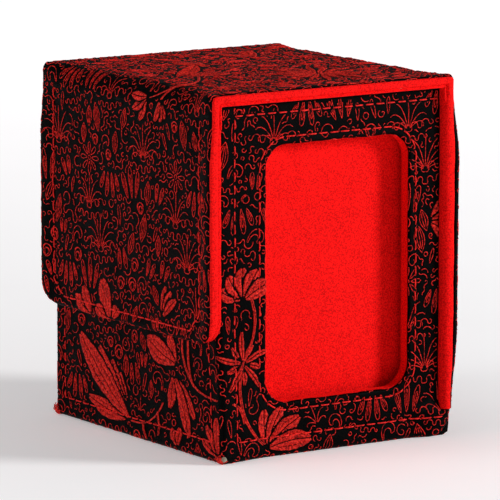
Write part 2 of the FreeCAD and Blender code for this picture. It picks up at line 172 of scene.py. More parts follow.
def black_brocade():
    """Black warp-faced satin, the ground of the brocade.

    Its long floats give a soft grey-green gleam at a low angle and a fine diagonal twill that
    is 0.3 mm in cloth of this weight and drawn at 0.5 mm so that it shows.
    """
    material, shader = start_material("satin_ground")
    flat = add(material, "ShaderNodeAttribute", attribute_name="cloth").outputs["Vector"]
    turned = add(material, "ShaderNodeMapping", {"Vector": flat, "Rotation": (0, 0, math.radians(27))})
    twill = add(material, "ShaderNodeTexWave",
                {"Vector": turned.outputs["Vector"], "Scale": 1 / 0.5 / 3.2, "Distortion": 1.2,
                 "Detail": 2.0, "Detail Scale": 2.0})
    fuzz = grain(material, flat, 0.35)
    patches = grain(material, flat, 6.0)
    ridges = add(material, "ShaderNodeMath", {0: twill.outputs["Fac"], 1: fuzz}, operation="ADD")
    link(material, shades(material, fuzz, [(0.35, "#010101"), (0.6, "#040505"), (0.8, "#0e1211")]),
         shader.inputs["Base Color"])
    rough = add(material, "ShaderNodeMapRange", {"Value": patches, "To Min": 0.42, "To Max": 0.6})
    link(material, rough.outputs["Result"], shader.inputs["Roughness"])
    bump = add(material, "ShaderNodeBump",
               {"Height": ridges.outputs["Value"], "Strength": 0.55, "Distance": 0.1 * MM})
    link(material, bump.outputs["Normal"], shader.inputs["Normal"])
    shader.inputs["Specular IOR Level"].default_value = 0.02
    shader.inputs["Sheen Weight"].default_value = 0.03
    shader.inputs["Sheen Roughness"].default_value = 0.2
    shader.inputs["Sheen Tint"].default_value = colour("#b9cbc4")
    return material


def red_floss(name, dark, mid, light, lay):
    """Viscose embroidery floss, bright and slightly glossy.

    It is laid in twisted strands, so it breaks into lighter and darker beads lay mm long.
    """
    material, shader = start_material(name)
    place = millimetres(material)
    beads = grain(material, place, lay, 1.0)
    link(material, shades(material, beads, [(0.34, dark), (0.5, mid), (0.68, light)]),
         shader.inputs["Base Color"])
    fibres = grain(material, place, 0.12, 0.0)
    bump = add(material, "ShaderNodeBump", {"Height": fibres, "Strength": 0.6, "Distance": 0.08 * MM})
    link(material, bump.outputs["Normal"], shader.inputs["Normal"])
    shader.inputs["Roughness"].default_value = 0.5
    shader.inputs["Specular IOR Level"].default_value = 0.14
    return material


def red_microfibre():
    """Brushed polyester microfibre, the lining and the edge band.

    A matt saturated red with a fine pile, 0.25 mm drawn at 0.45 mm so that it shows.
    """
    material, shader = start_material("brushed_microfibre")
    place = millimetres(material)
    pile = grain(material, place, 0.45, 3.0)
    nap = grain(material, place, 5.0)
    mixed = add(material, "ShaderNodeMath", {0: nap, 1: 0.12, 2: pile}, operation="MULTIPLY_ADD")
    link(material, shades(material, mixed.outputs["Value"], [(0.4, "#c00404"), (0.56, "#ec0a0a"),
                                                             (0.72, "#ff1410")]),
         shader.inputs["Base Color"])
    bump = add(material, "ShaderNodeBump", {"Height": pile, "Strength": 0.5, "Distance": 0.12 * MM})
    link(material, bump.outputs["Normal"], shader.inputs["Normal"])
    shader.inputs["Roughness"].default_value = 0.85
    shader.inputs["Specular IOR Level"].default_value = 0.08
    shader.inputs["Sheen Weight"].default_value = 0.04
    shader.inputs["Sheen Tint"].default_value = colour("#ff5040")
    return material


def greyboard():
    """Pressed grey bookbinder's board: dull, with short pulp fibres."""
    material, shader = start_material("greyboard")
    place = millimetres(material)
    pulp = grain(material, place, 0.8, 4.0)
    link(material, shades(material, pulp, [(0.3, "#77705f"), (0.7, "#a39a86")]),
         shader.inputs["Base Color"])
    bump = add(material, "ShaderNodeBump", {"Height": pulp, "Strength": 0.4, "Distance": 0.1 * MM})
    link(material, bump.outputs["Normal"], shader.inputs["Normal"])
    shader.inputs["Roughness"].default_value = 0.9
    return material


def nickel():
    """Nickel-plated magnet: a bright metal with faint rolling marks."""
    material, shader = start_material("nickel_plate")
    marks = grain(material, millimetres(material), 1.5, 3.0)
    rough = add(material, "ShaderNodeMapRange", {"Value": marks, "To Min": 0.22, "To Max": 0.38})
    link(material, rough.outputs["Result"], shader.inputs["Roughness"])
    link(material, shades(material, marks, [(0.3, "#b4b0a6"), (0.7, "#cbc8c0")]),
         shader.inputs["Base Color"])
    shader.inputs["Metallic"].default_value = 1.0
    return material


satin = black_brocade()
floss = red_floss("line_floss", "#6a0605", "#e01611", "#fb3024", 0.55)
leaf_floss = red_floss("satin_stitch_floss", "#7d0a07", "#d01a12", "#f5382a", 0.6)
thread = red_floss("sewing_thread", "#b81210", "#ee1c18", "#ff3028", 0.6)
lining = red_microfibre()
board = greyboard()
magnet = nickel()

for node_name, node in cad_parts.items():
    kind = node_name.rsplit("_", 1)[1]
    finish = {"cloth": satin, "lining": lining, "board": board, "stitches": thread,
              "magnets": magnet}[kind]
    node.data.materials.clear()
    node.data.materials.append(finish)


# ------------------------------------------------------------ outlines on flat cloth

class Outline:
    """A rectangle with rounded corners on flat cloth: u to the right and v up, in mm."""

    def __init__(self, left, right, low, high, corner_left=0.0, corner_right=None):
        self.left, self.right, self.low, self.high = left, right, low, high
        self.corners = (corner_left, corner_left if corner_right is None else corner_right)

    def inside(self, u, v):
        """How far inside the outline a point lies, and the way out of it."""
        across = (self.left + self.right) / 2
        along = (self.low + self.high) / 2
        corner = np.where(u < across, *self.corners)
        du = abs(u - across) - (self.right - self.left) / 2 + corner
        dv = abs(v - along) - (self.high - self.low) / 2 + corner
        round_the_corner = (du > 0) & (dv > 0)
        reach = np.hypot(du, dv)
        depth = np.where(round_the_corner, corner - reach, corner - np.maximum(du, dv))
        safe = np.maximum(reach, 1e-9)
        out_u = np.where(round_the_corner, du / safe, du >= dv) * np.sign(u - across)
        out_v = np.where(round_the_corner, dv / safe, du < dv) * np.sign(v - along)
        return depth, out_u, out_v

    def loop(self, grow, steps=14):
        """Points round the outline, grown on every side."""
        points = []
        corners = [(self.left, self.low, self.corners[0]), (self.right, self.low, self.corners[1]),
                   (self.right, self.high, self.corners[1]), (self.left, self.high, self.corners[0])]
        for turn, (u, v, radius) in enumerate(corners):
            centre = complex(u + math.copysign(radius, -u + (self.left + self.right) / 2),
                             v + math.copysign(radius, -v + (self.low + self.high) / 2))
            for step in range(steps + 1):
                angle = math.pi + (turn + step / steps) * QUARTER
                at = centre + (radius + grow) * complex(math.cos(angle), math.sin(angle))
                points.append((at.real, at.imag))
        return points


def roll(depth, height, rim):
    """Carries a point over a soft edge: its new inset from the outline and its new height."""
    turn = np.clip((rim - depth) / rim, 0, QUARTER)
    past = np.maximum(-depth - rim * (QUARTER - 1), 0)
    inset = np.where(depth < rim, rim - (rim + height) * np.sin(turn), depth)
    level = np.where(depth < rim, (rim + height) * np.cos(turn) - rim - past, height)
    return inset, level


def smooth(t):
    t = np.clip(t, 0, 1)
    return t * t * (3 - 2 * t)


def unevenness(u, v):
    """How far glued cloth stands off its board: long soft waves a tenth of a millimetre high."""
    return (0.07 * np.sin(0.31 * u + 0.17 * v + 1.3) + 0.06 * np.sin(0.53 * u - 0.41 * v)
            + 0.05 * np.sin(1.07 * u + 0.83 * v + 0.6) + 0.04 * np.sin(1.9 * v - 1.3 * u))


class Cloth:
    """A panel of cloth: how its flat cut is laid on the box, rolled over edges and pulled in."""

    def __init__(self, lay, outline, rim, seams=(), window=None, flare=None):
        self.lay, self.outline, self.rim = lay, outline, rim
        self.seams, self.window, self.flare = seams, window, flare

    def place(self, u, v, h):
        depth, out_u, out_v = self.outline.inside(u, v)
        raised = h + unevenness(u, v) * smooth(depth / 3)
        for seam, pull in self.seams:
            raised = raised - pull * np.exp(-(seam.inside(u, v)[0] / 0.75) ** 2)
        inset, level = roll(depth, raised, self.rim)
        new_u = u + out_u * (depth - inset)
        new_v = v + out_v * (depth - inset)
        if self.window is not None:
            gap, in_u, in_v = self.window.inside(u, v)
            gap = -gap
            inset, window_level = roll(gap, raised, WINDOW_RIM)
            near = gap < WINDOW_RIM
            new_u = np.where(near, u + in_u * (inset - gap), new_u)
            new_v = np.where(near, v + in_v * (inset - gap), new_v)
            level = np.where(near, window_level, level)
        if self.flare is not None:
            level = level + self.flare(u, v)
        return self.lay(new_u, new_v, level)


def spread(x, y, z):
    """How far the box's foot has spread, beside the free wall: outwards at both of its corners."""
    back = 2.3 * smooth((62 - z) / 22) * smooth((y - 10) / 32)
    front = 1.9 * smooth((38 - z) / 34) * smooth((-y - 10) / 32)
    return smooth((-20 - x) / 17) * (back - front)


def flat_wall(origin, right, up, out):
    """Lays cloth on a plane of the box."""
    axes = [np.array(a, float)[:, None] for a in (origin, right, up, out)]

    def lay(u, v, h):
        x, y, z = axes[0] + axes[1] * u + axes[2] * v + axes[3] * h
        return np.array([x, y + spread(x, y, z), z])
    return lay


def over_strip(u, v, h):
    """Lays cloth on the cover strip: up the flap, over the lid and down the hinge wall.

    The two hinge folds are squarer at the strip's edges and deep inside, where the lining is
    creased. Both upright faces belly out a little, the flap only towards its edges.
    """
    edge = smooth((abs(u) - 30) / 16)
    crease = 2 + 8 * edge ** 3 + 6 * np.clip((-h - CLOTH) / (STRIP - CLOTH), 0, 1)
    rise = (v - WALL_START) / (BAND_END - WALL_START)
    belly = (2.35 - 0.6 * rise) * smooth(rise / 0.22) * smooth((1 - rise) / 0.25)
    outer = np.clip((h + STRIP) / (STRIP - CLOTH), 0, 1)
    belly = belly * outer
    lift = 0.95 * smooth((abs(u) - 38) / 6) * smooth((FLAP_END - v) / 14) * outer

    def bend(start, radius):
        angle = np.clip((v - start) / radius, 0, QUARTER)
        c, s = np.cos(angle), np.sin(angle)
        square = (np.maximum(c, 1e-9) ** crease + np.maximum(s, 1e-9) ** crease) ** (-1 / crease)
        reach = (radius + h) * np.where(crease > 2.001, square, 1)
        return c * reach, s * reach

    a_c, a_s = bend(FLAP_END, FLAP_FOLD)
    b_c, b_s = bend(LID_END, LID_FOLD)
    f_c, f_s = bend(FOOT_START, FOOT_FOLD)
    stretch = [v < FLAP_END, v < LID_START, v < LID_END, v < WALL_START, v < FOOT_START]
    x = np.select(stretch, [FLAP_X - h - lift, lid_low[0] - a_c, lid_low[0] + v - LID_START,
                            lid_high[0] + b_s, WALL_X + h + belly], hinge_low[0] + f_c)
    z = np.select(stretch, [HEM + v, flap_high[2] + a_s, LID_Z + h, LID_Z - LID_FOLD + b_c,
                            LID_Z - LID_FOLD - (v - WALL_START)], FOOT_FOLD - f_s)
    return np.array([x, -u, z])


def foot_flare(u, v):
    """The front cloth swells out to cover the end of the foot."""
    return 2.0 * smooth((u - 27) / 9) * smooth((10.5 - v) / 3.5)


FAR = 400.0
TO_WINDOW = SEAM_OFF_WINDOW + HALF_THREAD
window = Outline(window_low[0] + TO_WINDOW, window_high[0] - TO_WINDOW,
                 window_low[2] + TO_WINDOW, window_high[2] - TO_WINDOW, WINDOW_CORNER)
window_seam = Outline(window.left - SEAM_OFF_WINDOW, window.right + SEAM_OFF_WINDOW,
                      window.low - SEAM_OFF_WINDOW, window.high + SEAM_OFF_WINDOW,
                      WINDOW_CORNER + SEAM_OFF_WINDOW)
edge_low, edge_high = extent("front_edge_stitches")
front_seam = Outline(edge_low[0] + HALF_THREAD, FAR, edge_low[2] + HALF_THREAD,
                     edge_high[2] - HALF_THREAD)
side_low, side_high = extent("left_wall_stitches")
left_seam = Outline(side_low[1] + HALF_THREAD, side_high[1] - HALF_THREAD,
                    side_low[2] + HALF_THREAD, FAR)
back_seam = Outline(-FAR, -edge_low[0] - HALF_THREAD, edge_low[2] + HALF_THREAD,
                    edge_high[2] - HALF_THREAD)
tuck_low, tuck_high = extent("flap_stitches")
flap_seam = Outline(tuck_low[1] + HALF_THREAD, tuck_high[1] - HALF_THREAD,
                    tuck_low[2] + HALF_THREAD - HEM, FAR, 3.5)

strip_cloth = Cloth(over_strip, Outline(-HALF, HALF, -FAR, FAR), STRIP_RIM)
flap_cloth = Cloth(over_strip, Outline(-HALF, HALF, 0, FAR, FLAP_CORNER), STRIP_RIM,
                   [(flap_seam, 0.3)])
front_cloth = Cloth(
    flat_wall((0, front_low[1], 0), (1, 0, 0), (0, 0, 1), (0, -1, 0)),
    Outline(front_low[0], WALL_X, 0, FAR, WALL_RIM, FOOT_FOLD), WALL_RIM,
    [(front_seam, 0.35), (window_seam, 0.3)], window, foot_flare)
back_cloth = Cloth(
    flat_wall((0, back_high[1], 0), (-1, 0, 0), (0, 0, 1), (0, 1, 0)),
    Outline(-WALL_X, -back_low[0], 0, FAR, FOOT_FOLD, WALL_RIM), WALL_RIM,
    [(back_seam, 0.35)], None, lambda u, v: foot_flare(-u, v))
left_cloth = Cloth(
    flat_wall((left_low[0], 0, 0), (0, -1, 0), (0, 0, 1), (-1, 0, 0)),
    Outline(-FAR, FAR, 0, FAR), WALL_RIM, [(left_seam, 0.35)])
floor_cloth = Cloth(
    flat_wall((0, 0, 0.35), (1, 0, 0), (0, -1, 0), (0, 0, -1)),
    Outline(-FAR, FAR, -FAR, FAR), WALL_RIM)


# ------------------------------------------------------------ cutting and laying the pieces

def trim(bm, axis, at, side):
    """Cuts flat work along a line and drops what lies on that side; 0 keeps both."""
    normal = [0, 0, 0]
    normal[axis] = 1
    point = [0, 0, 0]
    point[axis] = at
    bmesh.ops.bisect_plane(bm, geom=bm.verts[:] + bm.edges[:] + bm.faces[:], dist=1e-5,
                           plane_co=point, plane_no=normal, clear_outer=side > 0,
                           clear_inner=side < 0)


def cut_sheet(outline, rim, spans, hole=None, step=1.6):
    """A flat sheet, with rings along its soft edges and a grid within."""
    bm = bmesh.new()

    def ring(shape, grow):
        verts = [bm.verts.new((u, v, 0)) for u, v in shape.loop(grow)]
        return [bm.edges.new(pair) for pair in zip(verts, verts[1:] + verts[:1])]

    inner_rings = []
    for shape, edge, way in [(outline, rim, 1), (hole, WINDOW_RIM, -1)]:
        if shape is None:
            continue
        past = edge * (QUARTER - 1)
        grows = [past, past * 0.5, 0, -edge * 0.25, -edge * 0.5, -edge * 0.75, -edge, -edge - 1]
        rings = [ring(shape, way * grow) for grow in grows]
        for first, second in zip(rings, rings[1:]):
            bmesh.ops.bridge_loops(bm, edges=first + second)
        inner_rings += rings[-1]
    bmesh.ops.triangle_fill(bm, edges=inner_rings, use_beauty=True)
    (left, right), (low, high) = spans
    for axis, ends in ((0, (left, right)), (1, (low, high))):
        trim(bm, axis, ends[0], -1)
        trim(bm, axis, ends[1], 1)
        for at in np.arange(ends[0] + step, ends[1] - step / 2, step):
            trim(bm, axis, at, 0)
    return bm


def thicken(bm, thickness):
    """Gives flat work its thickness, below its face."""
    made = bmesh.ops.extrude_face_region(bm, geom=bm.faces[:])
    low = [v for v in made["geom"] if isinstance(v, bmesh.types.BMVert)]
    bmesh.ops.translate(bm, vec=(0, 0, -thickness), verts=low)


def mitre(bm, at, slope, reach):
    """Slants the end of a thick piece, so that it meets its neighbour half way round a bend."""
    for vert in bm.verts:
        share = max(0, 1 - abs(vert.co.y - at) / reach)
        vert.co.y += slope * vert.co.z * share


def piece(name, flat, place, material, body, sharp=50):
    """Lays flat work on the box as a named piece that rides a body, or stays unparented in a fold."""
    if isinstance(flat, bmesh.types.BMesh):
        mesh = bpy.data.meshes.new(name)
        bmesh.ops.remove_doubles(flat, verts=flat.verts, dist=1e-4)
        bmesh.ops.recalc_face_normals(flat, faces=flat.faces)
        flat.to_mesh(mesh)
        flat.free()
    else:
        mesh = flat
        mesh.name = name
    at = np.empty(len(mesh.vertices) * 3, np.float32)
    mesh.vertices.foreach_get("co", at)
    u, v, h = at.reshape(-1, 3).T.astype(float)
    mesh.attributes.new("cloth", "FLOAT_VECTOR", "POINT").data.foreach_set("vector", at)
    laid = (place(u, v, h) * MM).T.astype(np.float32)
    mesh.vertices.foreach_set("co", laid.ravel())
    mesh.update()
    bm = bmesh.new()
    bm.from_mesh(mesh)
    bmesh.ops.recalc_face_normals(bm, faces=bm.faces)
    bm.to_mesh(mesh)
    bm.free()
    mesh.polygons.foreach_set("use_smooth", [True] * len(mesh.polygons))
    mesh.set_sharp_from_angle(angle=math.radians(sharp))
    mesh.materials.append(material)
    made = bpy.data.objects.new(name, mesh)
    bpy.context.scene.collection.objects.link(made)
    attach(made, body)
    return made


def attach(made, body):
    """Lets a piece ride its body; a piece in a fold only has its transform baked and rides none."""
    if body == "flap_fold":
        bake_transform(made)
    elif body == "lid_fold":
        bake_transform(made)
    else:
        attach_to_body(made, body)


MITRE_REACH = {True: 3.0, False: 9.0}    # in a fold, and on the flat

# Each stretch of the strip: name, body, where it starts and ends, and how its ends slant
STRETCHES = [("flap", "flap", -5.0, FLAP_END, 0, 1),
             ("flap_fold", "flap_fold", FLAP_END, LID_START, 1, -1),
             ("lid", "lid", LID_START, LID_END, -1, 1),
             ("lid_fold", "lid_fold", LID_END, WALL_START, 1, -1),
             ("hinge_wall", "box", WALL_START, STRIP_END, -1, 0)]


def strip_cloths():
    """The brocade of the cover strip, one piece for each stretch."""
    reach = HALF + STRIP_RIM * (QUARTER - 1)
    for name, body, start, end, slope_in, slope_out in STRETCHES:
        cloth = flap_cloth if name == "flap" else strip_cloth
        step = 0.9 if "fold" in name else 1.6
        bm = cut_sheet(cloth.outline, STRIP_RIM, ((-reach - 1, reach + 1), (start, end)), step=step)
        if name == "hinge_wall":
            for at in (-BOARD_EDGE + 1.6, BOARD_EDGE - 1.6):
                trim(bm, 0, at, 0)
            trim(bm, 1, BAND_END, 0)
            foot_ends = [f for f in bm.faces if f.calc_center_median().y > BAND_END
                         and abs(f.calc_center_median().x) > BOARD_EDGE - 1.6]
            bmesh.ops.delete(bm, geom=foot_ends, context="FACES")
        thicken(bm, CLOTH)
        mitre(bm, start, slope_in, MITRE_REACH["fold" in name])
        mitre(bm, end, slope_out, MITRE_REACH["fold" in name])
        made = piece(f"{name}_brocade", bm, cloth.place, satin, body)
        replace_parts(made, f"{name}_cloth")


def wall_cloths():
    """The brocade of the front, back and left walls and of the underside."""
    past = WALL_RIM * (QUARTER - 1) + 1
    top = front_high[2]
    walls = [("front_wall", front_cloth, (front_low[0] - past, WALL_X + past), (-past, top), window),
             ("back_wall", back_cloth, (-WALL_X - past, -back_low[0] + past), (-past, top), None)]
    for name, cloth, across, along, hole in walls:
        bm = cut_sheet(cloth.outline, WALL_RIM, (across, along), hole)
        side = 1 if name == "front_wall" else -1
        inner = extent("front_wall_lining")[1][0]
        trim(bm, 0, side * inner, 0)
        trim(bm, 1, STRIP_FOOT, 0)
        beside = [f for f in bm.faces if f.calc_center_median().y > STRIP_FOOT
                  and f.calc_center_median().x * side > inner]
        bmesh.ops.delete(bm, geom=beside, context="FACES")
        thicken(bm, CLOTH)
        made = piece(f"{name}_brocade", bm, cloth.place, satin, "box")
        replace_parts(made, f"{name}_cloth")
    bm = cut_sheet(left_cloth.outline, WALL_RIM,
                   ((left_low[1] + WALL_RIM - CLOTH, left_high[1] - WALL_RIM + CLOTH), (-past, top)))
    thicken(bm, CLOTH)
    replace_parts(piece("left_wall_brocade", bm, left_cloth.place, satin, "box"),
                "left_wall_cloth")
    bm = cut_sheet(floor_cloth.outline, WALL_RIM,
                   ((front_low[0] + WALL_RIM, floor_high[0]),
                    (front_low[1] + WALL_RIM, back_high[1] - WALL_RIM)))
    thicken(bm, CLOTH)
    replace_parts(piece("bottom_brocade", bm, floor_cloth.place, satin, "box"),
                "bottom_cloth")


def band_place(u, v, h):
    """The lining's edge is a soft band that wavers a little, set deeper down the hinge wall."""
    waver = 0.10 * np.sin(0.41 * v + 0.5) + 0.06 * np.sin(1.13 * v)
    rise = (v - WALL_START) / (BAND_END - WALL_START)
    deeper = 0.45 * smooth(rise / 0.1) + 0.6 * smooth(rise / 0.22) * smooth((1 - rise) / 0.25)
    deeper = deeper * np.clip((h + STRIP) / (STRIP - BAND_FACE), 0, 1)
    return over_strip(u + np.sign(u) * waver * smooth((abs(u) - 43) / 2), v, h - deeper)


def strip_linings():
    """The red lining of the strip, wrapped round the edges of its board as a rounded band."""
    edge = HALF + 0.3
    for name, body, start, end, slope_in, slope_out in STRETCHES:
        if name == "flap":
            continue
        if name == "hinge_wall":
            end = BAND_END
        bm = bmesh.new()
        half = [(BOARD_EDGE, -BOARD_FACE - 0.1), (BOARD_EDGE, -BAND_FACE), (edge, -BAND_FACE),
                (edge, -BAND_WIDTH), (BOARD_EDGE + 0.1, -BAND_WIDTH - 0.2), (edge - 0.4, -STRIP + 0.35),
                (edge - 0.5, -STRIP)]
        if name == "hinge_wall":
            half[3:] = [(edge - 2.2 * (1 - math.cos(a)), -1.5 - (STRIP - 1.5) * math.sin(a))
                        for a in np.linspace(0, QUARTER, 8)]
        profile = half + [(-u, h) for u, h in reversed(half)]
        verts = [bm.verts.new((u, start, h)) for u, h in profile]
        bm.faces.new(verts)
        soft = [verts[2], verts[-3]] if name == "hinge_wall" else verts[2:4] + verts[-4:-2]
        bmesh.ops.bevel(bm, geom=soft, offset=0.6, segments=5, profile=0.5, material=-1,
                        affect="VERTICES")
        made = bmesh.ops.extrude_face_region(bm, geom=bm.faces[:])
        far = [v for v in made["geom"] if isinstance(v, bmesh.types.BMVert)]
        bmesh.ops.translate(bm, vec=(0, end - start, 0), verts=far)
        rows = 12 if "fold" in name else 40
        for row in range(1, rows):
            trim(bm, 1, start + (end - start) * row / rows, 0)
        mitre(bm, start, slope_in, MITRE_REACH["fold" in name])
        mitre(bm, end, slope_out, MITRE_REACH["fold" in name])
        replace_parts(piece(f"{name}_red_lining", bm, band_place, lining, body, 40),
                    f"{name}_lining")


def flap_lining():
    """The flap's lining: its band follows the flap's round corners, above a thin facing."""
    bm = bmesh.new()
    for grow, top, bottom, rim in ((0.3, BAND_FACE, BAND_WIDTH + 0.1, 0.8), (-0.3, BAND_WIDTH, STRIP, 0.3)):
        shape = Outline(-HALF - grow, HALF + grow, 0.2 - min(grow, 0) / 2, FAR, FLAP_CORNER + grow)
        layer = bmesh.new()
        layer.faces.new([layer.verts.new((u, v, -bottom)) for u, v in shape.loop(0)])
        trim(layer, 1, FLAP_END, 1)
        made = bmesh.ops.extrude_face_region(layer, geom=layer.faces[:])
        raised = [g for g in made["geom"] if isinstance(g, bmesh.types.BMVert)]
        bmesh.ops.translate(layer, vec=(0, 0, bottom - top), verts=raised)
        bmesh.ops.recalc_face_normals(layer, faces=layer.faces[:])
        rims = [e for e in layer.edges if abs(e.verts[0].co.z - e.verts[1].co.z) < 1e-6
                and min(v.co.y for v in e.verts) < FLAP_END - 1e-4]
        bmesh.ops.bevel(layer, geom=rims, offset=rim, segments=5, profile=0.5, material=-1,
                        affect="EDGES")
        if top == BAND_FACE:
            faces = [f for f in layer.faces if f.normal.z > 0.99 and f.calc_area() > 100]
            bmesh.ops.inset_region(layer, faces=faces, thickness=0.05, use_even_offset=True)
            bmesh.ops.translate(layer, vec=(0, 0, BAND_FACE - BAND_WIDTH),
                                verts=list({v for f in faces for v in f.verts}))
        for at in (-44, -42.5, -41, -39.5, -38, 38, 39.5, 41, 42.5, 44):
            trim(layer, 0, at, 0)
        for at in np.arange(2.0, FLAP_END - 1, 2.0):
            trim(layer, 1, at, 0)
        mitre(layer, FLAP_END, 1, MITRE_REACH[False])
        part = bpy.data.meshes.new("layer")
        layer.to_mesh(part)
        layer.free()
        bm.from_mesh(part)
    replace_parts(piece("flap_red_lining", bm, band_place, lining, "flap", 40),
                "flap_lining")


def foot_lining():
    """Inside the box, the hinge wall's lining turns into the floor's."""
    low, high = extent("back_wall_lining")[0], extent("front_wall_lining")[1]
    bm = bmesh.new()
    reach = (-low[1], -high[1])
    corners = [(reach[0], BAND_END), (reach[1], BAND_END), (reach[1], STRIP_END), (reach[0], STRIP_END)]
    bm.faces.new([bm.verts.new((u, v, -BOARD_FACE)) for u, v in corners])
    thicken(bm, STRIP - BOARD_FACE)
    for row in range(1, 10):
        trim(bm, 1, BAND_END + (STRIP_END - BAND_END) * row / 10, 0)
    piece("foot_red_lining", bm, over_strip, lining, "box", 40)


strip_cloths()
wall_cloths()
strip_linings()
flap_lining()
foot_lining()


# ------------------------------------------------------------ motifs, as complex numbers in mm

def turned(lines, angle=0.0, at=0j, size=1.0):
    """Turns a motif, sizes it and moves it to its place."""
    return [at + line * size * np.exp(1j * math.radians(angle)) for line in lines]


def mirrored(lines):
    return [-np.conj(line) for line in lines]


def petal(length, width, points=13):
    """The outline of one narrow petal, from its foot and back to it."""
    a = np.linspace(0, 2 * np.pi, points)
    return [1j * length * (1 - np.cos(a)) / 2 + width / 2 * np.sin(a) * np.sqrt((1.15 - np.cos(a)) / 2)]


def ring(radius):
    a = np.linspace(0, 2 * np.pi, 9 if radius < 1 else 13)
    return [radius * np.exp(1j * a)]


def curl(length, heading, turns, points=12, ease=1.7):
    """A tendril that winds up more and more towards its end."""
    t = np.linspace(0, 1, points)
    way = math.radians(heading) + turns * np.pi * t ** ease
    steps = np.exp(1j * (way[1:] + way[:-1]) / 2) * length / (points - 1)
    return [np.concatenate([[0], np.cumsum(steps)])]


def outlined(lines, width, bulb=1.0):
    """Both sides of a leafy scroll, drawn round its spine; a large bulb swells its end."""
    made = []
    for spine in lines:
        t = np.linspace(0, 1, len(spine))
        way = np.gradient(spine)
        side = 1j * way / abs(way) * width / 2 * (0.3 + np.sin(np.pi * t ** bulb) ** 0.7)
        made.append(np.concatenate([spine + side, (spine - side)[::-1], [spine[0] + side[0]]]))
    return made


def spikes(count, length, spread):
    """Single threads that open out from one foot, with their tips curled."""
    lines = []
    for k in range(count):
        side = 2 * k / (count - 1) - 1
        stem = length * (1 - 0.25 * side * side)
        lines += turned(curl(stem, 90, -0.9 * side, 8, 3.0), -side * spread,
                        0.12 * stem * 1j * np.exp(-1j * math.radians(side * spread)))
    return lines


def heart(width):
    """A heart whose lobes curl in, with a second line inside it."""
    lobe = outlined(curl(width * 1.5, 25, 1.45, 14, 1.25), width * 0.2, 1.6)
    return lobe + mirrored(lobe)


def bud(length, width, ribs=3):
    """A pointed oval with threads laid along it."""
    t = np.linspace(0, 1, 8)
    lines = [1j * length * t + way * width / 2 * np.sin(np.pi * t) for way in (-1, 1)]
    for k in range(ribs):
        side = (2 * (k + 1) / (ribs + 1) - 1) * width / 2
        s = np.linspace(0.14 + 0.05 * abs(side), 0.86, 5)
        lines.append(1j * length * s + side * np.sin(np.pi * s))
    return lines


def daisy(petals, radius):
    lines = ring(radius * 0.14)
    for k in range(petals):
        lines += turned(petal(radius * 0.74, radius * 0.34, 9), 360 * k / petals,
                        radius * 0.26 * 1j * np.exp(2j * np.pi * k / petals))
    return lines


def tulip(length):
    """Three petals held between two curled leaves, on a double stem."""
    lines = []
    for angle, long in ((-30, 0.42), (0, 0.5), (30, 0.42)):
        lines += turned(petal(length * long, length * 0.15), angle,
                        0.42j * length + 0.06j * length * np.exp(1j * math.radians(angle)))
    stem = [np.array([-0.4, -0.5 + 0.36j * length]), np.array([0.4, 0.5 + 0.36j * length])]
    leaf = outlined(curl(length * 0.62, 15, 1.2, 10), 1.2, 1.5)
    return lines + stem + leaf + mirrored(leaf)


def plume(length):
    """An oval filled with threads, on a curled stem."""
    stem = turned(curl(length * 0.6, 270, 0.9, 9), 0, 0.3j * length)
    return turned(bud(length * 0.65, length * 0.3, 2), 0, 0.33j * length) + stem


# ------------------------------------------------------------ laying the floss

CELL = 0.24             # side of the squares in which the needlework keeps its places


